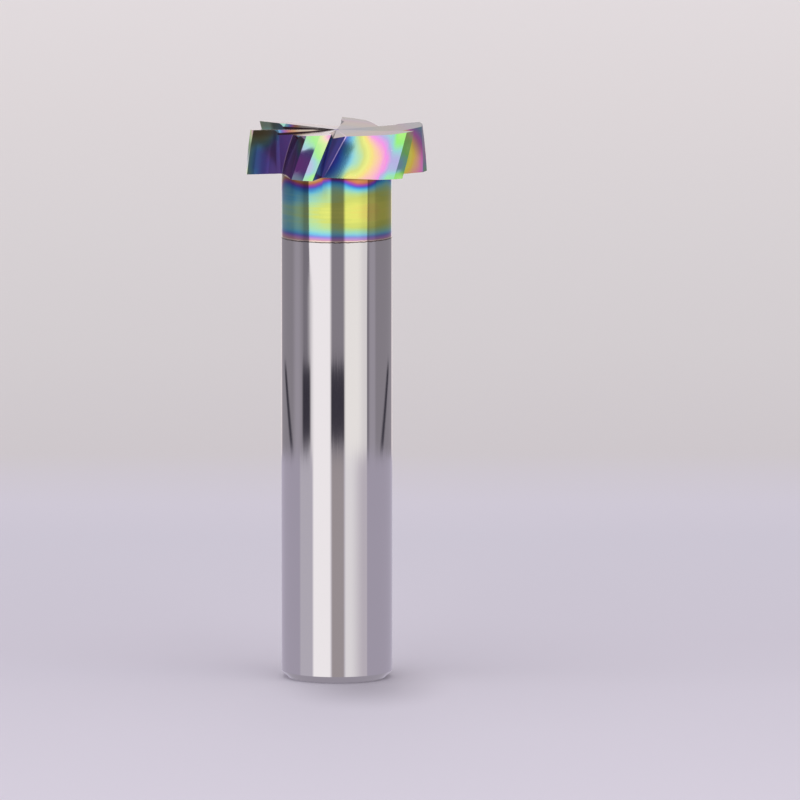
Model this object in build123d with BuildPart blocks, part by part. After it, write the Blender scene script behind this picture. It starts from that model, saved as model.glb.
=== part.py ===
from build123d import *
import os
from math import cos, degrees, radians, sin, tan

os.makedirs("parts", exist_ok=True)

# A solid carbide T slot cutter, ground from one blank: a round shank, a slightly relieved neck
# and a flat disc head with helical side teeth and a hollow ground cutting end.
# Millimetres and degrees. The origin is the centre of the shank's end face and +Z runs up the
# axis to the cutting end. The front of the cutter faces -Y. It cuts turning counter-clockwise
# as seen from above the cutting end, so "ahead" is counter-clockwise and "behind" clockwise.

# Body
overall_length = 60.0
shank_diameter = 12.0
shank_chamfer = 0.75
neck_length = 7.0
neck_relief = 0.04

# Head
head_diameter = 20.0
head_thickness = 5.0
tooth_count = 6
front_tooth_angle = -93.5
helix_angle = 22.0

# Two relieved lands behind each side cutting edge
primary_land = 1.15
primary_relief = 10.0
secondary_land = 1.70
secondary_relief = 30.0

# Gullet between two teeth, narrow at the head's lower face and wide at its cutting end. Its
# flat floor runs from the root of one tooth's front face to the heel where the next back starts.
root_rise_low = 0.44
root_rise_high = 1.19
heel_rise_low = 0.19
heel_rise_high = 0.09
heel_angle_low = 2.3
heel_angle_high = 16.5
root_fillet = 0.5
back_bow_low = 0.05
back_bow_high = 0.16

# Hollow ground end: facets that sink to the middle and fall away behind their edges
dish_depth = 0.40
end_relief = 4.0
centre_flat_diameter = 0.6
centre_flat_depth = 0.02

# Gash that leans back under the inner part of each end cutting edge
gash_start = 0.45
gash_full = 6.85
gash_end = 7.50
gash_width = 0.45
gash_depth = 0.42
gash_end_share = 0.05
gash_overcut = 1.6

# The head's blank is drawn this much too tall, in this many sections, and ground down
blank_spare = 0.3
section_count = 4

shank_radius = shank_diameter / 2
neck_radius = shank_radius - neck_relief
head_radius = head_diameter / 2
head_base = overall_length - head_thickness
shank_length = head_base - neck_length - neck_relief
end_centre = overall_length - dish_depth
tooth_pitch = 360 / tooth_count
twist_per_mm = degrees(tan(radians(helix_angle)) / head_radius)
dish_slope = dish_depth / head_radius
relief_slope = tan(radians(end_relief))
standing = (Align.CENTER, Align.CENTER, Align.MIN)


def polar(radius, angle):
    """Point at a radius and an angle from +X."""
    return (radius * cos(radians(angle)), radius * sin(radians(angle)))


def stepped_in(start, width, relief):
    """End of a land that runs behind a tooth's tip and falls inward by its relief angle."""
    return (start[0] - width * sin(radians(relief)), start[1] - width * cos(radians(relief)))


def turned(point, angle):
    """A point of the tooth on +X, turned about the axis to another tooth's place."""
    turn = radians(angle)
    return (
        point[0] * cos(turn) - point[1] * sin(turn),
        point[0] * sin(turn) + point[1] * cos(turn),
    )


def between(low, high, share):
    """Value part of the way up the blank, from its lower face to its top."""
    return low + (high - low) * share


# Corners of the tooth on +X, behind its tip
land_step = stepped_in((head_radius, 0), primary_land, primary_relief)
land_end = stepped_in(land_step, secondary_land, secondary_relief)

# Grinding cut for the facet behind the end cutting edge on +X: a wedge one tooth wide, open
# above, whose floor sinks towards the axis and away from the edge
facet_plane = Plane(
    origin=(0, 0, end_centre),
    z_dir=(-dish_slope, -relief_slope, 1),
)
with BuildPart() as facet_cut:
    with BuildSketch(Plane.XY.offset(end_centre - head_thickness / 2)):
        with BuildLine():
            Polyline(
                (0, 0),
                polar(head_diameter, -tooth_pitch),
                (head_diameter, 0),
                close=True,
            )
        make_face()
    extrude(amount=head_thickness)
    split(bisect_by=facet_plane, keep=Keep.TOP)

# Grinding cut for the gash under the same edge: triangles that grow outward along the edge and
# close again where the tooth's own front face takes over
gash_stations = (
    (gash_start, gash_start / gash_full),
    (gash_full, 1.0),
    (gash_end, gash_end_share),
)
with BuildPart() as gash_cut:
    for station, share in gash_stations:
        width = gash_width * share
        depth = gash_depth * share
        station_plane = Plane(
            origin=(station, 0, end_centre + station * dish_slope - depth),
            x_dir=(0, -1, 0),
            z_dir=(-1, 0, 0),
        )
        with BuildSketch(station_plane):
            with BuildLine():
                Polyline(
                    (0, 0),
                    (width * gash_overcut, depth * gash_overcut),
                    (0, depth * gash_overcut),
                    close=True,
                )
            make_face()
    loft(ruled=True)

with BuildPart() as cutter:
    # Shank, chamfered where it stands
    Cylinder(shank_radius, shank_length, align=standing)
    chamfer(cutter.edges().group_by(Axis.Z)[0], shank_chamfer)

    # Neck, eased down from the shank and run on up inside the head
    with Locations((0, 0, shank_length)):
        Cone(shank_radius, neck_radius, neck_relief, align=standing)
    with Locations((0, 0, shank_length + neck_relief)):
        Cylinder(neck_radius, neck_length + head_thickness / 2, align=standing)

    # Toothed head: one ring of teeth drawn at rising heights, each turned on by the helix
    for section in range(section_count):
        share = section / (section_count - 1)
        height = head_base + (head_thickness + blank_spare) * share
        ring_angle = front_tooth_angle + twist_per_mm * (height - overall_length)
        root_radius = neck_radius + between(root_rise_low, root_rise_high, share)
        heel_radius = neck_radius + between(heel_rise_low, heel_rise_high, share)
        heel_angle = between(heel_angle_low, heel_angle_high, share)
        back_bow = between(back_bow_low, back_bow_high, share)
        with BuildSketch(Plane.XY.offset(height)):
            with BuildLine():
                for tooth in range(tooth_count):
                    angle = ring_angle + tooth * tooth_pitch
                    heel = polar(heel_radius, angle - tooth_pitch + heel_angle)
                    root = polar(root_radius, angle)
                    next_heel = polar(heel_radius, angle + heel_angle)
                    SagittaArc(heel, turned(land_end, angle), -back_bow)
                    Line(turned(land_end, angle), turned(land_step, angle))
                    Line(turned(land_step, angle), polar(head_radius, angle))
                    FilletPolyline(
                        polar(head_radius, angle),
                        root,
                        next_heel,
                        radius=root_fillet,
                    )
            make_face()
    loft()

    # End teeth, ground on every tooth alike
    with PolarLocations(0, tooth_count, start_angle=front_tooth_angle):
        add(facet_cut.part, mode=Mode.SUBTRACT)
        add(gash_cut.part, mode=Mode.SUBTRACT)

    # Small flat where the end cutting edges would meet
    with Locations((0, 0, end_centre - centre_flat_depth)):
        Cylinder(
            centre_flat_diameter / 2,
            head_thickness,
            align=standing,
            mode=Mode.SUBTRACT,
        )

cutter.part.label = "cutter"
export_step(cutter.part, "parts/cutter.step")
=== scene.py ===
from math import radians

import bpy
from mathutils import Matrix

# A T slot cutter standing on its shank on a pale floor. The cutter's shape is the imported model,
# and this script gives it its ground carbide and its rainbow coating, a floor, light and a
# camera. Lengths are metres, except in the cutter's nodes, which count in millimetres.

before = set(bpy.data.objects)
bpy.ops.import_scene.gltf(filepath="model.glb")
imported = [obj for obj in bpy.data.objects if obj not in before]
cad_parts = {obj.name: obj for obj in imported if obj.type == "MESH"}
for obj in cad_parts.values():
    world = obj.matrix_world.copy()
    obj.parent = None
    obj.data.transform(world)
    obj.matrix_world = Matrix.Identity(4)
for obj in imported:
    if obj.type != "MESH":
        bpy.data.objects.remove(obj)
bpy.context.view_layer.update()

# The cutter, as the part's source has it, in millimetres and degrees
OVERALL_LENGTH = 60.0
HEAD_BASE = 55.0
TOOTH_PITCH = 60.0
FRONT_TOOTH_ANGLE = -93.5
TWIST_PER_MM = 2.315
HEEL_ANGLE_LOW = 2.3
HEEL_ANGLE_PER_MM = 2.68
PRIMARY_END = 1.133
SECONDARY_END = 2.605
COATING_START = 48.0
DISH_DEPTH = 0.40
DISH_SLOPE = 0.04

# Height of the wall in front of an end edge, for each millimetre from the axis
WALL_SLOPE = 0.0805

# Camera, fitted to the photograph's outlines
CAMERA_PLACE = (0.0, -1.205, 0.179)
CAMERA_DOWN = 7.04
CAMERA_YAW = 0.3255
CAMERA_LENS = 504.6
CAMERA_REACH = 10.0

# Studio: what the polished carbide mirrors, by direction
ROOM_LIGHT = (0.375, 0.35, 0.39)
ROOM_HAZE = (0.50, 0.47, 0.53)
ROOM_SHADE = (0.30, 0.28, 0.32)
DARK_CORNER = (0.17, 0.105, 0.25)
FLOOR_GLOW = (0.57, 0.53, 0.64)
FLOOR_HAZE = (0.72, 0.69, 0.77)
GAP_GLOW = (0.53, 0.48, 0.49)
LOW_GLOW = (0.48, 0.45, 0.52)
LEFT_PANEL = (1.44, 1.41, 1.41)
RIGHT_PANEL = (1.34, 1.32, 1.26)
RIGHT_PANEL_HIGH = (1.42, 1.41, 1.37)
RIGHT_HAZE = (0.80, 0.72, 0.66)
RIGHT_PANEL_EDGE = (1.12, 1.09, 1.08)
RIGHT_SHEEN = (1.19, 1.17, 1.18)
RIGHT_SHEEN_EDGE = (0.78, 0.73, 0.80)
BACK_LIGHT = (0.75, 0.66, 0.665)
BACK_LIGHT_LOW = (0.96, 0.86, 0.87)
BACK_LIGHT_HIGH = (0.67, 0.63, 0.65)
OVERHEAD_LIGHT = (1.32, 1.30, 1.30)
TABLE_EDGE = (0.06, 0.055, 0.075)

# Where the studio's parts stand and how soft their edges are, in degrees. Azimuth counts from
# the camera's side and grows to the right of the view. A pair is where a soft edge starts and
# ends, or the gap's two sides.
HORIZON = -7.32
TABLE_TOP = -6.86
PANEL_GAP = (-11.6, 15.4)
LEFT_INNER_EDGE = (-16.0, -8.5)
LEFT_FOOT = (-6.5, -6.3)
LEFT_FOOT_SOFT = 10.0
LEFT_OUTER_SOFT = 1.2
RIGHT_INNER_EDGE = (12.5, 20.0)
RIGHT_FOOT = (-6.8, -4.5)
RIGHT_FOOT_EDGE = 66.0
RIGHT_OUTER_EDGE = 73.3
RIGHT_OUTER_SOFT = 1.5
PANEL_TOP = (35.0, 50.0)
OVERHEAD_EDGE = (52.0, 62.0)
GLINT_STRENGTH = 0.6

# The slant of the table's ends, and how the far edges of floor and table are made ragged
SLANT_PER_DEGREE = 65.0
SLANT_START = 582.0
RAG_ACROSS = 0.35
RAG_UP = 30.0
RAG_DEPTH = 0.16

# The left panel's outer edge by elevation, as a share of LEFT_SPAN to the left
LEFT_SPAN = 100.0
LEFT_OUTER_EDGE = (
    (-20.0, 0.57),
    (-6.5, 0.57),
    (-6.2, 0.60),
    (-3.0, 0.66),
    (1.0, 0.755),
    (9.0, 0.755),
    (10.5, 0.88),
    (20.0, 0.92),
)


class Nodes:
    """Short names for building a node tree."""

    def __init__(self, owner):
        owner.use_nodes = True
        self.tree = owner.node_tree
        self.tree.nodes.clear()

    def add(self, kind, **settings):
        node = self.tree.nodes.new("ShaderNode" + kind)
        for name, value in settings.items():
            setattr(node, name, value)
        return node

    def plug(self, value, socket):
        """Links a socket to a socket, or writes a plain value on it."""
        if isinstance(value, bpy.types.NodeSocket):
            self.tree.links.new(value, socket)
        else:
            socket.default_value = value

    def math(self, operation, *values, clamp=False):
        node = self.add("Math", operation=operation, use_clamp=clamp)
        for value, socket in zip(values, node.inputs):
            self.plug(value, socket)
        return node.outputs[0]

    def chain(self, operation, values):
        result = values[0]
        for value in values[1:]:
            result = self.math(operation, result, value)
        return result

    def times(self, *values):
        return self.chain("MULTIPLY", values)

    def total(self, *values):
        return self.chain("ADD", values)

    def most(self, *values):
        return self.chain("MAXIMUM", values)

    def less(self, value, amount):
        return self.math("SUBTRACT", value, amount)

    def rest(self, share):
        """What a share leaves of the whole."""
        return self.less(1.0, share)

    def progress(self, value, start, end):
        """How far the value has come from start to end, from 0 to 1."""
        return self.math("DIVIDE", self.less(value, start), end - start, clamp=True)

    def split(self, vector):
        node = self.add("SeparateXYZ")
        self.plug(vector, node.inputs[0])
        return node.outputs

    def join(self, x, y, z):
        node = self.add("CombineXYZ")
        for value, socket in zip((x, y, z), node.inputs):
            self.plug(value, socket)
        return node.outputs[0]

    def rise(self, value, start, end):
        """0 below start, 1 above end and smooth between them."""
        node = self.add("MapRange", interpolation_type="SMOOTHSTEP")
        self.plug(value, node.inputs["Value"])
        self.plug(start, node.inputs["From Min"])
        self.plug(end, node.inputs["From Max"])
        return node.outputs["Result"]

    def fall(self, value, start, end):
        """1 below start, 0 above end and smooth between them."""
        return self.rest(self.rise(value, start, end))

    def step(self, value, place, soft):
        """0 before the place and 1 past it, over a soft edge."""
        return self.rise(value, place - soft, place + soft)

    def window(self, value, start, end, soft):
        """1 between start and end, and 0 outside, over soft edges."""
        return self.times(self.step(value, start, soft), self.rest(self.step(value, end, soft)))

    def curve(self, value, points):
        """A smooth profile through given points, each a place and a level from 0 to 1."""
        low, high = points[0][0], points[-1][0]
        share = self.progress(value, low, high)
        node = self.add("FloatCurve")
        line = node.mapping.curves[0].points
        spots = [((place - low) / (high - low), level) for place, level in points]
        line[0].location = spots[0]
        line[-1].location = spots[-1]
        for spot in spots[1:-1]:
            line.new(*spot)
        node.mapping.update()
        self.plug(share, node.inputs["Value"])
        return node.outputs["Value"]

    def mix(self, share, first, second):
        """A mix of two numbers, or of two colours where the first is a colour."""
        is_colour = isinstance(first, tuple) or getattr(first, "type", "") == "RGBA"
        node = self.add("Mix", data_type="RGBA" if is_colour else "FLOAT")
        first_socket, second_socket, result = (6, 7, 2) if is_colour else (2, 3, 0)
        self.plug(share, node.inputs[0])
        for value, socket in ((first, first_socket), (second, second_socket)):
            self.plug(rgba(value) if isinstance(value, tuple) else value, node.inputs[socket])
        return node.outputs[result]

    def noise(self, vector, scale, detail):
        """Smooth random spots from 0 to 1."""
        node = self.add("TexNoise")
        self.plug(vector, node.inputs["Vector"])
        node.inputs["Scale"].default_value = scale
        node.inputs["Detail"].default_value = detail
        return node.outputs["Fac"]

    def grain(self, vector, scale, detail):
        """The same spots around 0."""
        return self.less(self.noise(vector, scale, detail), 0.5)

    def ramp(self, value, stops):
        """Colours that follow each other, each a place on the value's scale and a colour."""
        low, high = stops[0][0], stops[-1][0]
        node = self.add("ValToRGB")
        self.plug(self.progress(value, low, high), node.inputs["Fac"])
        elements = node.color_ramp.elements
        elements[0].color = rgba(stops[0][1])
        elements[-1].color = rgba(stops[-1][1])
        for place, colour in stops[1:-1]:
            elements.new((place - low) / (high - low)).color = rgba(colour)
        return node.outputs["Color"]

    def finish(self, shader, output="OutputMaterial"):
        self.plug(shader.outputs[0], self.add(output).inputs["Surface"])


def rgba(colour):
    return (*colour, 1.0)


def add_camera():
    data = bpy.data.cameras.new("camera")
    data.lens = CAMERA_LENS
    data.clip_end = CAMERA_REACH
    camera = bpy.data.objects.new("camera", data)
    camera.location = CAMERA_PLACE
    camera.rotation_euler = (radians(90.0 - CAMERA_DOWN), 0.0, radians(-CAMERA_YAW))
    bpy.context.scene.collection.objects.link(camera)
    bpy.context.scene.camera = camera


add_camera()


class Direction:
    """Where a ray into the studio points, and how much of each panel stands there."""

    def __init__(self, n):
        x, y, z = n.split(n.add("TexCoord").outputs["Generated"])
        self.azimuth = n.math("DEGREES", n.math("ARCTAN2", x, n.times(y, -1.0)))
        self.elevation = n.math("DEGREES", n.math("ARCSINE", z))

        # Elevation made ragged, for the far edges of the floor and the table
        across, up = n.times(self.azimuth, RAG_ACROSS), n.times(self.elevation, RAG_UP)
        rag = n.times(n.grain(n.join(across, up, 0.0), 1.0, 3.0), RAG_DEPTH)
        self.ragged = n.total(self.elevation, rag)

        # The panels' outer edges lean outwards as they rise, and the left one sharpens
        left_edge = n.times(n.curve(self.elevation, LEFT_OUTER_EDGE), LEFT_SPAN)
        above_foot = n.rise(self.elevation, *LEFT_FOOT)
        left_soft = n.mix(above_foot, LEFT_FOOT_SOFT, LEFT_OUTER_SOFT)
        inside = n.math("DIVIDE", n.total(self.azimuth, left_edge), left_soft)
        left_inner = n.fall(self.azimuth, *LEFT_INNER_EDGE)
        self.left_panel = n.times(n.step(inside, 0.0, 1.0), left_inner)
        above_foot = n.rise(self.elevation, *RIGHT_FOOT)
        right_edge = n.mix(above_foot, RIGHT_FOOT_EDGE, RIGHT_OUTER_EDGE)
        outside = n.step(n.less(self.azimuth, right_edge), 0.0, RIGHT_OUTER_SOFT)
        right_inner = n.rise(self.azimuth, *RIGHT_INNER_EDGE)
        self.right_panel = n.times(right_inner, n.rest(outside))


def dim_room(n, look):
    """The room beside the panels: haze, a shaded strip and a dark corner on the left."""
    azimuth, elevation = look.azimuth, look.elevation
    room = n.mix(n.window(azimuth, -100.0, -80.0, 8.0), ROOM_LIGHT, ROOM_HAZE)
    room = n.mix(n.window(azimuth, 72.0, 88.0, 4.0), room, ROOM_HAZE)
    right_haze = n.times(n.window(azimuth, 70.0, 94.0, 5.0), n.rise(elevation, 4.0, 9.0))
    room = n.mix(right_haze, room, RIGHT_HAZE)
    room = n.mix(n.window(azimuth, -74.0, -58.0, 2.0), room, ROOM_SHADE)
    corner = n.times(n.window(azimuth, -87.0, -64.0, 1.5), n.window(elevation, -1.0, 9.5, 1.0))
    return n.mix(corner, room, DARK_CORNER)


def light_from_behind(n, look, room):
    """Light on the far side, which changes as it rises, with a shade and a glint beside it."""
    azimuth, elevation = look.azimuth, look.elevation
    light = n.mix(n.rise(elevation, 3.0, 9.0), BACK_LIGHT_LOW, BACK_LIGHT)
    light = n.mix(n.rise(elevation, 11.5, 14.5), light, BACK_LIGHT_HIGH)
    room = n.mix(n.rise(n.math("ABSOLUTE", azimuth), 155.0, 168.0), room, light)
    shade = n.times(n.rise(azimuth, 135.0, 145.0), n.window(elevation, -5.6, 0.5, 0.4))
    room = n.mix(shade, room, ROOM_SHADE)
    glint = n.times(n.window(azimuth, -153.0, -138.0, 3.0), n.window(elevation, -5.0, -3.6, 0.3))
    return n.mix(n.times(glint, GLINT_STRENGTH), room, BACK_LIGHT_LOW)


def light_from_panels(n, look, room):
    """Light from overhead and from the two panels, which end below it."""
    azimuth, elevation = look.azimuth, look.elevation
    room = n.mix(n.rise(elevation, *OVERHEAD_EDGE), room, OVERHEAD_LIGHT)
    below_top = n.fall(elevation, *PANEL_TOP)
    room = n.mix(n.times(look.left_panel, below_top), room, LEFT_PANEL)
    light = n.mix(n.rise(azimuth, 42.0, 62.0), RIGHT_PANEL, RIGHT_PANEL_EDGE)
    light = n.mix(n.rise(elevation, -4.0, 3.0), light, RIGHT_PANEL_HIGH)
    room = n.mix(n.times(look.right_panel, below_top), room, light)
    foot = n.times(n.window(azimuth, 66.5, 70.5, 1.2), n.fall(elevation, -6.6, -6.0))
    return n.mix(foot, room, ROOM_SHADE)


def table_edge(n, look):
    """The table's dark far edge between the panels, and its slanting ends far to both sides."""
    left_of_panel = n.window(look.azimuth, -76.0, -57.0, 3.0)
    places = n.total(left_of_panel, n.window(look.azimuth, *PANEL_GAP, 1.5))
    edge = n.times(places, n.window(look.ragged, HORIZON + 0.06, TABLE_TOP, 0.035))
    aside = n.math("ABSOLUTE", look.azimuth)
    slant = n.total(aside, n.times(look.elevation, -SLANT_PER_DEGREE), -SLANT_START)
    ends = n.times(n.window(slant, -5.0, 5.0, 3.0), n.window(look.elevation, -7.3, TABLE_TOP, 0.05))
    return n.most(edge, ends)


def floor_light(n, look):
    """The floor's glow, and the panels' sheen on it."""
    azimuth = look.azimuth
    floor = n.mix(n.window(azimuth, -83.0, -53.0, 3.0), FLOOR_GLOW, FLOOR_HAZE)
    floor = n.mix(n.window(azimuth, *PANEL_GAP, 2.5), floor, GAP_GLOW)
    right_sheen = n.mix(n.rise(azimuth, 25.0, 60.0), RIGHT_SHEEN, RIGHT_SHEEN_EDGE)
    floor = n.mix(look.right_panel, floor, right_sheen)
    left_sheen = n.times(n.rise(azimuth, -55.0, -48.0), n.fall(azimuth, *LEFT_INNER_EDGE))
    floor = n.mix(left_sheen, floor, LEFT_PANEL)
    return n.mix(n.fall(look.elevation, -32.0, -14.0), floor, LOW_GLOW)


def light_the_studio():
    """Tall soft panels left and right of the camera, a dim room and the floor's own glow."""
    world = bpy.data.worlds.new("studio")
    bpy.context.scene.world = world
    n = Nodes(world)
    look = Direction(n)
    room = light_from_behind(n, look, dim_room(n, look))
    room = light_from_panels(n, look, room)
    room = n.mix(table_edge(n, look), room, TABLE_EDGE)
    above = n.step(look.ragged, HORIZON, 0.05)
    sky = n.add("Background")
    n.plug(n.mix(above, floor_light(n, look), room), sky.inputs["Color"])
    n.finish(sky, "OutputWorld")


light_the_studio()

# The floor: how far it reaches, how far it lies under the face that the cutter stands on, and
# its surface
FLOOR_REACH = 2.0
FLOOR_SINK = 0.00002
FLOOR_ROUGHNESS = 0.7
FLOOR_SPECULAR = 0.2

# Its tones by depth in metres, from in front of the foot to the back of the view
FLOOR_TONES = (
    (-0.2, (0.767, 0.735, 0.841)),
    (-0.086, (0.767, 0.735, 0.841)),
    (0.028, (0.695, 0.665, 0.765)),
    (0.112, (0.687, 0.665, 0.763)),
    (0.142, (0.712, 0.685, 0.781)),
    (0.17, (0.704, 0.675, 0.737)),
    (0.19, (0.699, 0.670, 0.693)),
    (0.30, (0.742, 0.719, 0.731)),
    (0.45, (0.781, 0.757, 0.766)),
    (0.65, (0.832, 0.800, 0.805)),
    (0.90, (0.884, 0.852, 0.860)),
)

# A painted contact shadow just in front of the foot, an oval in metres that fades at CONTACT_END
# ovals
CONTACT_X = 0.003
CONTACT_Y = -0.008
CONTACT_WIDTH = 0.009
CONTACT_DEPTH = 0.016
CONTACT_END = 1.15
CONTACT_STRENGTH = 0.30
CONTACT_SHADE = (0.04, 0.02, 0.05)


def add_floor():
    """A wide pale floor that fills the view, a hair under the face that the cutter stands on."""
    mesh = bpy.data.meshes.new("floor")
    sides = ((-1, -1), (1, -1), (1, 1), (-1, 1))
    corners = [(FLOOR_REACH * x, FLOOR_REACH * y, -FLOOR_SINK) for x, y in sides]
    mesh.from_pydata(corners, [], [(0, 1, 2, 3)])
    floor = bpy.data.objects.new("floor", mesh)
    floor.visible_glossy = False
    bpy.context.scene.collection.objects.link(floor)
    material = bpy.data.materials.new("floor")
    mesh.materials.append(material)

    n = Nodes(material)
    across, depth, _ = n.split(n.add("TexCoord").outputs["Object"])
    aside = n.math("DIVIDE", n.less(across, CONTACT_X), CONTACT_WIDTH)
    ahead = n.math("DIVIDE", n.less(depth, CONTACT_Y), CONTACT_DEPTH)
    ovals = n.math("SQRT", n.total(n.times(aside, aside), n.times(ahead, ahead)))
    # Painted shadow: the floor's tone darkens in an oval in front of the foot
    contact_shadow = n.times(n.fall(ovals, 0.0, CONTACT_END), CONTACT_STRENGTH)
    tone = n.mix(contact_shadow, n.ramp(depth, FLOOR_TONES), CONTACT_SHADE)
    surface = n.add("BsdfPrincipled")
    n.plug(tone, surface.inputs["Base Color"])
    surface.inputs["Roughness"].default_value = FLOOR_ROUGHNESS
    surface.inputs["Specular IOR Level"].default_value = FLOOR_SPECULAR
    n.finish(surface)


add_floor()

# The coating's colours in the order in which they follow each other as the film grows thicker,
# as reflectances of the coated metal
FILM_COLOURS = (
    (0.00, (0.56, 0.45, 0.34)),
    (0.05, (0.54, 0.28, 0.11)),
    (0.08, (0.50, 0.19, 0.13)),
    (0.11, (0.42, 0.13, 0.20)),
    (0.14, (0.34, 0.10, 0.31)),
    (0.18, (0.23, 0.10, 0.44)),
    (0.21, (0.14, 0.13, 0.51)),
    (0.25, (0.10, 0.26, 0.58)),
    (0.30, (0.16, 0.45, 0.60)),
    (0.35, (0.27, 0.53, 0.45)),
    (0.40, (0.36, 0.55, 0.30)),
    (0.47, (0.48, 0.54, 0.17)),
    (0.54, (0.59, 0.61, 0.18)),
    (0.61, (0.66, 0.54, 0.18)),
    (0.68, (0.68, 0.40, 0.36)),
    (0.75, (0.64, 0.26, 0.58)),
    (0.82, (0.37, 0.35, 0.56)),
    (0.88, (0.27, 0.48, 0.50)),
    (0.94, (0.29, 0.63, 0.22)),
    (1.00, (0.42, 0.64, 0.25)),
    (1.06, (0.58, 0.60, 0.33)),
    (1.13, (0.67, 0.47, 0.46)),
    (1.20, (0.60, 0.30, 0.52)),
)
BARE_CARBIDE = (0.57, 0.55, 0.565)
COATING_LINE = (0.16, 0.13, 0.11)
PALE_LINE = (0.72, 0.62, 0.52)
PALE_FILM = (0.49, 0.47, 0.475)
THIN_FILM = (0.55, 0.45, 0.62)
# Painted highlight along the heel lines
HEEL_HIGHLIGHT = (0.90, 0.72, 1.0)
RIM_TONE = (0.22, 0.20, 0.17)
# Painted light: the brighter blue that a front face's root is drawn to
ROOT_LIGHT_TONE = (0.34, 0.27, 0.95)
# Plum film colour darkened as painted shade, for the backs on the left
PLUM_FILM_AND_SHADE = (0.52, 0.24, 0.20)
SPECK = (0.75, 0.72, 0.70)
# Painted shade: the dark tone that shaded places are drawn to
SHADE_TONE = (0.02, 0.018, 0.02)
# Painted shade: the near-black of the wedge low on each gash wall
WEDGE_SHADE_TONE = (0.035, 0.006, 0.014)

# Roughness of the surfaces, from the polished shank to the gullets
POLISH = 0.02
NECK_FINISH = 0.035
LAND_FINISH = 0.06
HEEL_FINISH = 0.30
END_FINISH = 0.12
GASH_FINISH = 0.20
FRONT_FINISH = 0.30
GULLET_FINISH = 0.45

# Where one surface of a tooth gives way to the next: radii and heights in millimetres, turns in
# degrees, and how far the surface faces forward or up, from -1 to 1
MM_PER_METRE = 1000.0
AHEAD_OF_FRONT = 17.0
LAND_START = (8.1, 8.5)
GULLET_END = (7.5, 7.9)
GULLET_PAST_HEEL = (-0.6, 1.2)
GULLET_TURN = (3.0, 6.0)
FRONT_FACING = (0.55, 0.85)
LEVEL_FACING = (0.85, 0.95)
GASH_FACING = (0.5, 0.9)
GASH_START = (58.7, 58.9)
CHAMFER_FACING = (-0.6, -0.3)
CHAMFER_TOP = (0.75, 0.85)


class Tooth:
    """Where a point of the cutter lies in millimetres, and on which ground surface of a tooth."""

    def __init__(self, n):
        scaled = n.add("VectorMath", operation="SCALE")
        n.plug(n.add("TexCoord").outputs["Object"], scaled.inputs[0])
        scaled.inputs["Scale"].default_value = MM_PER_METRE
        self.place = scaled.outputs[0]
        x, y, self.height = n.split(self.place)
        self.x, self.y = x, y
        self.radius = n.math("SQRT", n.total(n.times(x, x), n.times(y, y)))
        self.angle = n.math("DEGREES", n.math("ARCTAN2", y, x))

        # Degrees and millimetres behind the front face of the nearest tooth ahead
        below_end = n.less(self.height, OVERALL_LENGTH)
        ring = n.total(n.times(below_end, TWIST_PER_MM), FRONT_TOOTH_ANGLE)
        behind = n.less(ring, self.angle)
        self.turn = n.math("WRAP", behind, TOOTH_PITCH - AHEAD_OF_FRONT, -AHEAD_OF_FRONT)
        ring_at_base = FRONT_TOOTH_ANGLE + TWIST_PER_MM * (HEAD_BASE - OVERALL_LENGTH)
        self.past_gullet = n.math("WRAP", n.less(self.angle, ring_at_base), TOOTH_PITCH, 0.0)
        self.back_off = n.times(n.math("SINE", n.math("RADIANS", self.turn)), self.radius)
        above_base = n.less(self.height, HEAD_BASE)
        heel = n.total(n.times(above_base, -HEEL_ANGLE_PER_MM), -HEEL_ANGLE_LOW)
        self.past_heel = n.less(self.turn, heel)

        # How far the surface faces forward, in the sense of the cut, and up
        facing_x, facing_y, up = n.split(n.add("TexCoord").outputs["Normal"])
        forward = n.less(n.times(facing_y, x), n.times(facing_x, y))
        forward = n.math("DIVIDE", forward, self.radius)

        outer = n.rise(self.radius, *LAND_START)
        self.on_lands = n.times(n.rest(n.step(self.back_off, SECONDARY_END, 0.03)), outer)
        self.on_primary = n.times(n.rest(n.step(self.back_off, PRIMARY_END, 0.02)), outer)
        past_heel = n.rise(self.past_heel, *GULLET_PAST_HEEL)
        inner = n.fall(self.radius, *GULLET_END)
        self.in_gullet = n.times(past_heel, n.fall(self.turn, *GULLET_TURN), inner)
        self.on_front = n.rise(forward, *FRONT_FACING)
        self.on_end = n.rise(up, *LEVEL_FACING)
        self.on_gash = n.times(n.window(up, *GASH_FACING, 0.05), n.rise(self.height, *GASH_START))
        self.on_base = n.fall(up, -LEVEL_FACING[1], -LEVEL_FACING[0])
        chamfer_height = n.fall(self.height, *CHAMFER_TOP)
        self.on_chamfer = n.times(n.fall(up, *CHAMFER_FACING), chamfer_height)
        self.on_head = n.step(self.height, HEAD_BASE, 0.02)
        self.coated = n.step(self.height, COATING_START, 0.03)

        # How far round the point lies, counter-clockwise from the left: past the front tooth,
        # from the far tooth on, and from the far left one on
        self.right_of_front = n.rise(self.angle, -110.0, -95.0)
        self.from_far_tooth = n.rise(self.angle, 60.0, 75.0)
        self.far_left = n.rise(self.angle, 100.0, 120.0)


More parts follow.
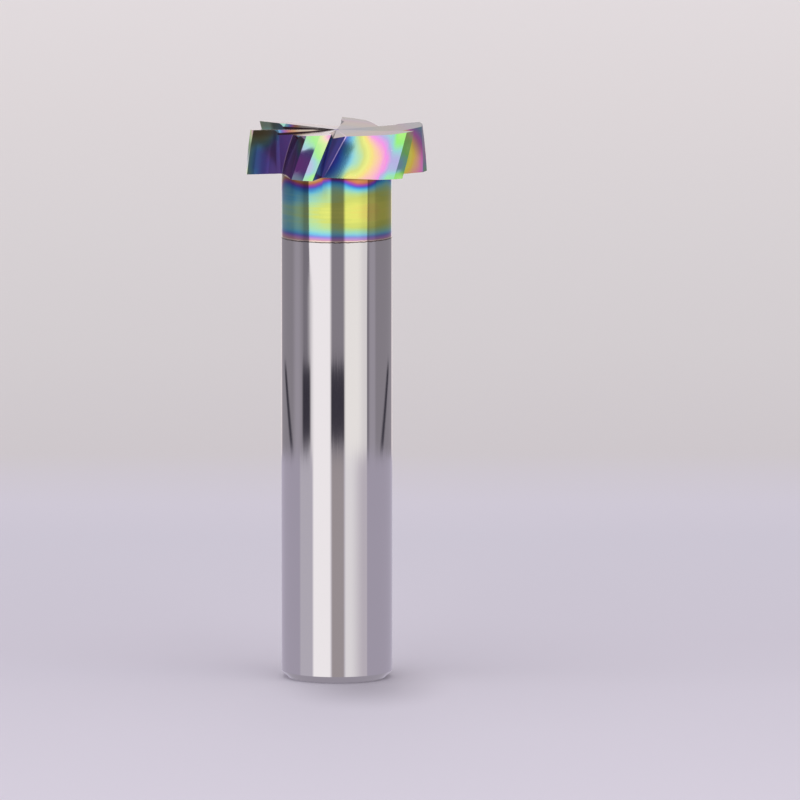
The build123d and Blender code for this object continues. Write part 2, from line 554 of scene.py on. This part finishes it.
# The film on the neck by height, across the view, and its wave by degrees past a gullet
NECK_BY_HEIGHT = (
    (48.0, 0.05),
    (48.25, 0.14),
    (48.5, 0.215),
    (48.75, 0.29),
    (49.0, 0.345),
    (49.7, 0.45),
    (50.35, 0.51),
    (51.0, 0.53),
    (51.8, 0.51),
    (52.4, 0.46),
    (53.05, 0.42),
    (53.75, 0.315),
    (54.05, 0.265),
    (54.31, 0.20),
    (54.51, 0.14),
    (54.85, 0.055),
    (55.2, 0.04),
)
NECK_ACROSS = (
    (-6.0, 0.0),
    (-5.0, 0.06),
    (-4.2, 0.18),
    (-3.3, 0.30),
    (-2.0, 0.47),
    (-1.15, 0.59),
    (0.0, 0.63),
    (1.4, 0.80),
    (2.7, 0.88),
    (3.8, 0.96),
    (4.9, 0.80),
    (6.0, 0.80),
)
NECK_WAVE = (
    (0.0, 0.52),
    (4.0, 0.26),
    (14.0, 0.14),
    (23.0, 0.34),
    (30.0, 0.62),
    (42.0, 0.90),
    (50.0, 0.84),
    (55.0, 0.70),
    (60.0, 0.52),
)
NECK_WAVE_START = (52.0, 54.2)
SIDE_SHIFT = 0.25
DRIFT_SCALE = 0.19
DRIFT_STRENGTH = 0.2
NECK_MIDDLE = (49.6, 53.2)
ACROSS_MIDDLE = 0.72
ACROSS_STRENGTH = 0.25
RING_ACROSS = 0.12
RING_UP = 3.5
RING_STRENGTH = 0.09


def neck_film(n, tooth):
    """Thin at both ends of the neck and thick between, with a wave under each gullet."""
    wave = n.curve(tooth.past_gullet, NECK_WAVE)
    left_lag = n.times(n.fall(tooth.x, -4.9, -3.6), SIDE_SHIFT)
    right_lead = n.times(n.rise(tooth.x, 4.8, 5.7), -SIDE_SHIFT)
    wave_start = n.rise(tooth.height, *NECK_WAVE_START)
    shift = n.times(n.total(wave, -0.5, left_lag, right_lead), wave_start)
    place = n.join(n.times(tooth.x, DRIFT_SCALE), n.times(tooth.y, DRIFT_SCALE), tooth.height)
    drift = n.times(n.noise(place, 1.0, 1.0), DRIFT_STRENGTH)
    height = n.total(tooth.height, shift, drift, -DRIFT_STRENGTH / 2)

    # Across the view and in fine rings, both strongest in the middle of the neck
    middle = n.window(tooth.height, *NECK_MIDDLE, 0.8)
    across = n.less(n.curve(tooth.x, NECK_ACROSS), ACROSS_MIDDLE)
    across = n.times(across, ACROSS_STRENGTH, n.total(n.times(middle, 0.7), 0.3))
    x, y = n.times(tooth.x, RING_ACROSS), n.times(tooth.y, RING_ACROSS)
    rings = n.grain(n.join(x, y, n.times(tooth.height, RING_UP)), 1.0, 3.0)
    rings = n.times(rings, middle, RING_STRENGTH)
    return n.total(n.curve(height, NECK_BY_HEIGHT), across, rings)


# The film on a tooth's back by radius, and what it gains near the head's two faces
BACK_BY_RADIUS = (
    (6.0, 0.20),
    (6.2, 0.225),
    (6.35, 0.25),
    (6.5, 0.27),
    (6.7, 0.285),
    (6.9, 0.31),
    (7.1, 0.345),
    (7.5, 0.404),
    (7.9, 0.511),
    (8.3, 0.603),
    (8.7, 0.655),
    (9.1, 0.712),
    (9.4, 0.769),
)
BACK_TOP_GAIN = (
    (6.0, 0.0),
    (6.5, 0.05),
    (6.8, 0.17),
    (7.1, 0.225),
    (7.5, 0.344),
    (8.3, 0.245),
    (9.4, 0.195),
)
BACK_BASE_GAIN = (
    (6.0, 0.09),
    (6.7, 0.115),
    (7.1, 0.259),
    (7.5, 0.211),
    (8.3, 0.086),
    (9.4, 0.02),
)
BACK_GAINS = ((57.2, OVERALL_LENGTH, BACK_TOP_GAIN), (56.8, HEAD_BASE, BACK_BASE_GAIN))
BACK_GAIN_POWER = 1.6


def back_film(n, tooth):
    """Grows outward along a tooth's back, faster near the head's two faces."""
    film = n.curve(tooth.radius, BACK_BY_RADIUS)
    for start, face, gain in BACK_GAINS:
        near = n.math("POWER", n.progress(tooth.height, start, face), BACK_GAIN_POWER)
        film = n.total(film, n.times(near, n.curve(tooth.radius, gain)))
    return film


# The film on the two lands behind a side cutting edge, by height
PRIMARY_BY_HEIGHT = (
    (55.0, 0.96),
    (55.5, 0.94),
    (55.9, 0.885),
    (56.4, 0.87),
    (57.2, 0.89),
    (57.6, 0.92),
    (58.2, 0.95),
    (58.9, 0.975),
    (59.4, 1.0),
    (60.0, 1.0),
)
SECONDARY_BY_HEIGHT = (
    (55.0, 0.925),
    (55.5, 0.90),
    (56.0, 0.845),
    (56.5, 0.83),
    (57.2, 0.832),
    (57.7, 0.86),
    (58.1, 0.89),
    (58.5, 0.92),
    (58.9, 0.945),
    (60.0, 0.97),
)
LAND_EDGE_GAIN = 0.03
LAND_TIP_GAIN = 0.20
LAND_HEEL_LOSS = 0.09
LAND_RIGHT_LOSS = 0.03


def land_film(n, tooth):
    """Thick on the two lands, thickest near the head's faces and towards the cutting edge."""
    edge_gain = n.times(n.fall(tooth.back_off, 0.1, 0.9), LAND_EDGE_GAIN)
    at_tip = n.times(n.rise(tooth.height, 58.9, 60.1), n.fall(tooth.back_off, -0.4, 1.5))
    tip_gain = n.times(at_tip, LAND_TIP_GAIN)
    primary = n.total(n.curve(tooth.height, PRIMARY_BY_HEIGHT), edge_gain, tip_gain)
    at_heel = n.times(n.rise(tooth.back_off, 1.8, 2.6), n.rise(tooth.angle, -104.0, -94.0))
    heel_loss = n.times(at_heel, -LAND_HEEL_LOSS)
    right_loss = n.times(n.rise(tooth.angle, 5.0, 12.0), -LAND_RIGHT_LOSS)
    secondary = n.total(n.curve(tooth.height, SECONDARY_BY_HEIGHT), heel_loss, right_loss)
    return n.mix(tooth.on_primary, secondary, primary)


# The film on a tooth's front face: its level, how far the top's gain has grown by height, the
# gains by radius, and how much of the edge's gain the top takes away and the low corner adds
FRONT_LEVEL = 0.20
FRONT_TOP_TAKES = 0.85
FRONT_LOW_ADDS = 0.3
FRONT_ROOT_LOSS = 0.035
FRONT_TOP = (
    (57.2, 0.0),
    (57.8, 0.12),
    (58.6, 0.62),
    (59.0, 0.82),
    (59.6, 1.0),
)
FRONT_TOP_GAIN = (
    (7.2, 0.06),
    (7.9, 0.14),
    (8.4, 0.175),
    (9.0, 0.20),
    (10.0, 0.22),
)
FRONT_EDGE_GAIN = (
    (7.8, 0.0),
    (8.4, 0.015),
    (8.9, 0.038),
    (9.3, 0.06),
    (9.6, 0.10),
    (10.0, 0.16),
)


def front_film(n, tooth):
    """Thin on a tooth's front face, growing towards its tip, its top and its lower corner."""
    top = n.curve(tooth.height, FRONT_TOP)
    edge_gain = n.curve(tooth.radius, FRONT_EDGE_GAIN)
    at_root = n.times(n.fall(tooth.radius, 6.8, 7.9), n.fall(tooth.height, 55.3, 57.2))
    return n.total(
        FRONT_LEVEL,
        n.times(top, n.curve(tooth.radius, FRONT_TOP_GAIN)),
        n.times(edge_gain, n.rest(n.times(top, FRONT_TOP_TAKES))),
        n.times(n.fall(tooth.height, 55.0, 56.2), edge_gain, FRONT_LOW_ADDS),
        n.times(at_root, -FRONT_ROOT_LOSS),
    )


# The film in the gullets and round the head's rim by angle
GULLET_BY_ANGLE = (
    (-180.0, 0.19),
    (-130.0, 0.19),
    (-95.0, 0.207),
    (0.0, 0.20),
    (180.0, 0.17),
)
RIM_BY_ANGLE = (
    (-180.0, 0.08),
    (-165.0, 0.09),
    (-130.0, 0.05),
    (-118.0, 0.035),
    (-108.0, 0.06),
    (-101.0, 0.10),
    (-94.0, 0.12),
    (-85.0, 0.10),
    (-35.0, 0.10),
    (5.0, 0.11),
    (14.0, 0.02),
    (40.0, 0.02),
    (60.0, 0.06),
    (150.0, 0.06),
    (180.0, 0.08),
)
RIM_MIDDLE = 0.1
RIM_START = (8.2, 9.4)

# The film on the end facets, in the gashes and on the head's underside by radius
END_BY_RADIUS = (
    (0.0, 0.27),
    (3.5, 0.34),
    (4.6, 0.50),
    (5.3, 0.58),
    (6.0, 0.63),
    (6.9, 0.68),
    (7.3, 0.72),
    (7.7, 0.77),
    (8.2, 0.82),
    (8.6, 0.88),
    (9.0, 0.93),
    (10.0, 1.0),
)
GASH_BY_RADIUS = (
    (0.0, 0.0),
    (4.0, 0.01),
    (5.0, 0.05),
    (5.9, 0.12),
    (6.4, 0.20),
    (6.8, 0.27),
    (7.5, 0.32),
)
BASE_BY_RADIUS = (
    (6.0, 0.10),
    (6.6, 0.20),
    (7.6, 0.33),
    (8.6, 0.50),
    (9.4, 0.72),
    (10.0, 0.90),
)
FAR_GASH_GAIN = 0.06


def gash_film(n, tooth):
    """Grows outward along the gash, a little thicker on the far teeth."""
    far_gain = n.times(tooth.from_far_tooth, n.rise(tooth.radius, 5.5, 6.3), FAR_GASH_GAIN)
    return n.total(n.curve(tooth.radius, GASH_BY_RADIUS), far_gain)


def film_thickness(n, tooth):
    """The film where the point lies, each surface's own laid over those before it."""
    gullet_film = n.curve(tooth.angle, GULLET_BY_ANGLE)
    film = n.mix(tooth.in_gullet, back_film(n, tooth), gullet_film)
    film = n.mix(tooth.on_lands, film, land_film(n, tooth))
    film = n.mix(tooth.on_front, film, front_film(n, tooth))
    film = n.mix(tooth.on_gash, film, gash_film(n, tooth))
    film = n.mix(tooth.on_end, film, n.curve(tooth.radius, END_BY_RADIUS))
    film = n.mix(tooth.on_base, film, n.curve(tooth.radius, BASE_BY_RADIUS))
    around = n.less(n.curve(tooth.angle, RIM_BY_ANGLE), RIM_MIDDLE)
    film = n.total(film, n.times(around, n.rise(tooth.radius, *RIM_START)))
    return n.mix(tooth.on_head, neck_film(n, tooth), film)


# How the film is mottled, and how much stronger its colour is on the neck and on the right
MOTTLE_SCALE = 1.6
MOTTLE_STRENGTH = 0.025
NECK_RICHER = 0.10
RIGHT_RICHER = 0.16


def film_colour(n, tooth):
    """The film's colour, mottled, and stronger on the neck and on the right side."""
    mottle = n.times(n.grain(tooth.place, MOTTLE_SCALE, 3.0), MOTTLE_STRENGTH)
    film = n.total(film_thickness(n, tooth), mottle)
    neck = n.times(n.rest(tooth.on_head), NECK_RICHER)
    right = n.times(n.rise(tooth.x, 3.6, 6.5), RIGHT_RICHER)
    node = n.add("HueSaturation")
    n.plug(n.total(neck, right, 1.0), node.inputs["Saturation"])
    n.plug(n.ramp(film, FILM_COLOURS), node.inputs["Color"])
    return node.outputs["Color"]


# How far the film's colour is drawn to another tone, from 0 to 1. The plum and the heel's tone hold
# painted shade, and the root's tone holds painted light
PLUM_AND_SHADE_SHARE = 0.78
HEEL_SHADE_SHARE = 0.4
PALE_END_SHARE = 0.80
PALE_GASH_SHARE = 0.25
FAR_GASH_MORE = 0.5
ROOT_LIGHT_SHARE = 0.45
DARK_RIM_SHARE = 0.55


def tint(n, tooth, colour):
    """What the film's colour is drawn to on single surfaces: backs, end, gashes and fronts, with
    painted shade on the left backs and painted light at the front roots.
    """
    # The backs on the left are drawn to plum, a film colour darkened as painted shade, and to
    # painted shade at the heel
    on_back = n.times(n.rest(tooth.in_gullet), n.rest(tooth.on_lands))
    on_back = n.times(on_back, n.rest(tooth.on_front), tooth.on_head)
    left_back = n.times(on_back, n.window(tooth.angle, -168.0, -116.0, 4.0))
    colour = n.mix(n.times(left_back, PLUM_AND_SHADE_SHARE), colour, PLUM_FILM_AND_SHADE)
    painted_heel_shade = n.times(left_back, n.fall(tooth.radius, 6.6, 7.1), HEEL_SHADE_SHARE)
    colour = n.mix(painted_heel_shade, colour, SHADE_TONE)

    # The end's film lies so thin over the polish that it only tints it
    pale_end = n.times(tooth.on_end, tooth.on_head, PALE_END_SHARE)
    colour = n.mix(pale_end, colour, PALE_FILM)
    paleness = n.total(n.times(tooth.from_far_tooth, FAR_GASH_MORE), PALE_GASH_SHARE)
    inner_gash = n.times(tooth.on_gash, tooth.on_head, n.fall(tooth.radius, 4.5, 5.5))
    colour = n.mix(n.times(inner_gash, paleness), colour, PALE_FILM)

    # Painted light: a front face is drawn to a brighter blue at its root. Along its rim it is drawn
    # to a dark tone
    root_light = n.times(tooth.on_front, n.fall(tooth.radius, 7.1, 8.1))
    root_light = n.times(root_light, n.fall(tooth.height, 58.4, 59.2), ROOT_LIGHT_SHARE)
    colour = n.mix(root_light, colour, ROOT_LIGHT_TONE)
    rim = n.times(tooth.on_front, n.rise(tooth.height, 58.9, 59.6), DARK_RIM_SHARE)
    return n.mix(rim, colour, RIM_TONE)


# Shade on a tooth's front face by radius, low on it and along its rim
FRONT_SHADE_LOW = (
    (7.0, 0.0),
    (7.6, 0.06),
    (8.3, 0.15),
    (8.9, 0.02),
    (9.15, 0.05),
    (9.35, 0.42),
    (10.0, 0.45),
)
FRONT_SHADE_RIM = (
    (7.0, 0.32),
    (8.0, 0.45),
    (9.0, 0.60),
    (10.0, 0.70),
)

# Shade in a gash by radius, and on an end facet by degrees behind its edge
GASH_SHADE = (
    (1.0, 0.92),
    (1.7, 0.90),
    (2.3, 0.60),
    (3.1, 0.0),
    (7.5, 0.0),
)
END_SHADE = (
    (0.0, 0.10),
    (15.0, 0.22),
    (26.0, 0.28),
    (32.0, 0.33),
    (38.0, 0.50),
    (44.0, 0.70),
)

# How much of a front face's light is left, how much more single places have, and the share of
# its shade that the far rim keeps
FRONT_LIT = 0.57
LEFT_MORE = 0.20
NEAR_MORE = 0.26
FAR_RIM_MORE = 0.42
ROOT_MORE = 0.20
FAR_RIM_SHADE = 0.25

# How deep the other shades are
GULLET_SHADE = 0.48
RIGHT_GULLET_SHADE = 0.32
BESIDE_ROOT_MORE = 0.24
FAR_GASH_SHADE = 0.40
WEDGE_SHADE = 0.97
BELOW_HEAD_SHADE = 0.30
CORNER_SHADE = 0.6
CHAMFER_SHADE = 0.86
CHAMFER_SIDE_SHADE = 0.95


def front_shade(n, tooth):
    """On the front faces, least on the near tooth and on the one to its left."""
    low = n.curve(tooth.radius, FRONT_SHADE_LOW)
    rim = n.curve(tooth.radius, FRONT_SHADE_RIM)
    shade = n.mix(n.rise(tooth.height, 57.7, 58.7), low, rim)
    far_rim = n.times(tooth.far_left, n.rise(tooth.radius, 8.2, 8.9))
    shade = n.times(shade, n.mix(far_rim, 1.0, FAR_RIM_SHADE))
    left = n.window(tooth.angle, -172.0, -150.0, 4.0)
    near = n.window(tooth.angle, -112.0, -88.0, 4.0)
    root_light = n.times(n.total(left, near), n.fall(tooth.radius, 7.2, 8.2))
    places = ((left, LEFT_MORE), (near, NEAR_MORE), (far_rim, FAR_RIM_MORE), (root_light, ROOT_MORE))
    lit_share = n.total(*(n.times(place, more) for place, more in places), FRONT_LIT)
    shade = n.rest(n.times(n.rest(shade), lit_share))
    return n.times(tooth.on_front, n.rest(tooth.on_gash), shade)


def gullet_shade(n, tooth):
    """In the gullets, deeper on the left and beside the next tooth's root."""
    shade = n.mix(tooth.right_of_front, GULLET_SHADE, RIGHT_GULLET_SHADE)
    beside_root = n.times(n.rise(tooth.radius, 6.35, 6.6), tooth.right_of_front)
    shade = n.total(shade, n.times(beside_root, BESIDE_ROOT_MORE))
    return n.times(tooth.in_gullet, n.rest(tooth.on_gash), shade)


def gash_shade(n, tooth):
    """In the gashes, deep near the middle of the end and on the far left."""
    far = n.times(tooth.far_left, n.fall(tooth.radius, 5.3, 6.2), FAR_GASH_SHADE)
    return n.times(n.most(n.curve(tooth.radius, GASH_SHADE), far), tooth.on_gash)


def end_shade(n, tooth):
    """On the end facet behind the left front edge."""
    shade = n.times(n.curve(tooth.turn, END_SHADE), tooth.on_end)
    beside = n.window(tooth.angle, -150.0, -97.0, 5.0)
    return n.times(shade, beside, n.rise(tooth.radius, 3.0, 5.5))


def wedge_shade(n, tooth):
    """Share of the painted shade, a dark wedge low on the wall in front of each end edge."""
    rim_height = n.total(n.times(tooth.radius, DISH_SLOPE), OVERALL_LENGTH - DISH_DEPTH)
    below_rim = n.less(rim_height, tooth.height)
    wall_share = n.math("DIVIDE", below_rim, n.times(tooth.radius, WALL_SLOPE))
    low = n.times(n.rise(wall_share, 0.5, 0.66), n.fall(tooth.radius, 6.9, 7.2))
    low = n.times(low, n.fall(below_rim, 0.5, 0.6), WEDGE_SHADE)
    at_edge = n.window(tooth.turn, -3.0, 3.0, 0.5)
    return n.times(low, at_edge, tooth.on_head, n.rest(tooth.on_end))


def neck_shade(n, tooth):
    """Under the head, on the left and in the corner, and on the chamfer at the foot."""
    left = n.times(n.rise(tooth.height, 51.6, 54.2), n.fall(tooth.x, -1.3, -0.5))
    corner = n.times(n.rise(tooth.height, 54.5, 54.9), n.rise(tooth.x, -2.8, -1.2))
    corner = n.times(corner, n.fall(tooth.x, 3.0, 5.0), CORNER_SHADE)
    side = n.rise(n.math("ABSOLUTE", tooth.x), 1.5, 4.0)
    chamfer = n.times(tooth.on_chamfer, n.mix(side, CHAMFER_SHADE, CHAMFER_SIDE_SHADE))
    return n.most(n.times(left, BELOW_HEAD_SHADE), corner, chamfer)


def darken(n, tooth, colour):
    """Painted shade on the front faces, in gullets and gashes, under the head and at the foot."""
    colour = n.mix(wedge_shade(n, tooth), colour, WEDGE_SHADE_TONE)
    shade = n.most(front_shade(n, tooth), gullet_shade(n, tooth), gash_shade(n, tooth))
    shade = n.most(n.times(shade, n.rest(tooth.on_end)), end_shade(n, tooth))
    shade = n.mix(tooth.on_head, neck_shade(n, tooth), shade)
    return n.mix(shade, colour, SHADE_TONE)


# How strongly the pale sliver and the painted heel highlight show, and how coarse the specks are
PALE_SLIVER_SHARE = 0.9
HEEL_HIGHLIGHT_SHARE = 0.85
LEFT_HEEL_HIGHLIGHT_SHARE = 0.15
SPECK_SCALE = 7.0
SPECK_SHARE = 0.5


def marks_and_heel_highlight(n, tooth, colour):
    """A pale sliver on the far tooth, a painted highlight along the heel lines and a few specks."""
    pale_sliver = n.times(n.window(tooth.angle, 79.0, 97.0, 2.0), n.rise(tooth.height, 59.1, 59.3))
    pale_sliver = n.times(pale_sliver, tooth.on_head)
    pale_sliver = n.times(pale_sliver, n.rise(tooth.radius, 6.2, 6.5), n.rest(tooth.on_end))
    colour = n.mix(n.times(pale_sliver, PALE_SLIVER_SHARE), colour, SPECK)
    # Painted highlight: a bright line along each heel
    heel = n.times(n.window(tooth.past_heel, -0.6, 0.6, 0.35), tooth.on_head)
    heel = n.times(heel, n.fall(tooth.radius, 6.4, 6.7))
    heel = n.times(heel, n.mix(n.fall(tooth.angle, -135.0, -125.0), 1.0, LEFT_HEEL_HIGHLIGHT_SHARE))
    heel = n.times(heel, n.rise(tooth.height, 55.0, 57.0), HEEL_HIGHLIGHT_SHARE)
    colour = n.mix(heel, colour, HEEL_HIGHLIGHT)
    specks = n.rise(n.noise(tooth.place, SPECK_SCALE, 0.0), 0.84, 0.89)
    return n.mix(n.times(specks, tooth.on_head, SPECK_SHARE), colour, SPECK)


# How strongly the coating's edge shows, and how it crumbles
THINNING_SHARE = 0.45
PALE_LINE_SHARE = 0.75
CRUMBLE_SCALE = 2.5
CRUMBLE_DEPTH = 0.16


def coating_edge(n, tooth, colour):
    """Bare carbide below the coating, with a pale and a dark crumbling line between them."""
    thinning = n.fall(tooth.height, COATING_START + 0.2, COATING_START + 1.1)
    colour = n.mix(n.times(thinning, THINNING_SHARE), colour, THIN_FILM)
    colour = n.mix(tooth.coated, BARE_CARBIDE, colour)
    crumble = n.times(n.grain(tooth.place, CRUMBLE_SCALE, 3.0), CRUMBLE_DEPTH)
    height = n.total(tooth.height, crumble)
    pale_line = n.window(height, COATING_START + 0.03, COATING_START + 0.12, 0.03)
    colour = n.mix(n.times(pale_line, PALE_LINE_SHARE), colour, PALE_LINE)
    dark_line = n.window(height, COATING_START - 0.09, COATING_START + 0.01, 0.03)
    return n.mix(dark_line, colour, COATING_LINE)


def roughness(n, tooth):
    rough = n.mix(n.fall(tooth.radius, 6.3, 7.5), LAND_FINISH, HEEL_FINISH)
    rough = n.mix(tooth.in_gullet, rough, GULLET_FINISH)
    rough = n.mix(tooth.on_front, rough, FRONT_FINISH)
    rough = n.mix(tooth.on_gash, rough, GASH_FINISH)
    rough = n.mix(tooth.on_end, rough, END_FINISH)
    rough = n.mix(n.times(tooth.on_head, tooth.coated), NECK_FINISH, rough)
    return n.mix(tooth.coated, POLISH, rough)


def paint_cutter():
    material = bpy.data.materials.new("coated_carbide")
    n = Nodes(material)
    tooth = Tooth(n)
    colour = film_colour(n, tooth)
    for coat in (tint, darken, marks_and_heel_highlight, coating_edge):
        colour = coat(n, tooth, colour)
    surface = n.add("BsdfPrincipled")
    n.plug(colour, surface.inputs["Base Color"])
    surface.inputs["Metallic"].default_value = 1.0
    n.plug(roughness(n, tooth), surface.inputs["Roughness"])
    n.finish(surface)
    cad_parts["cutter"].material_slots[0].material = material


paint_cutter()

bpy.context.scene.view_settings.view_transform = "Standard"
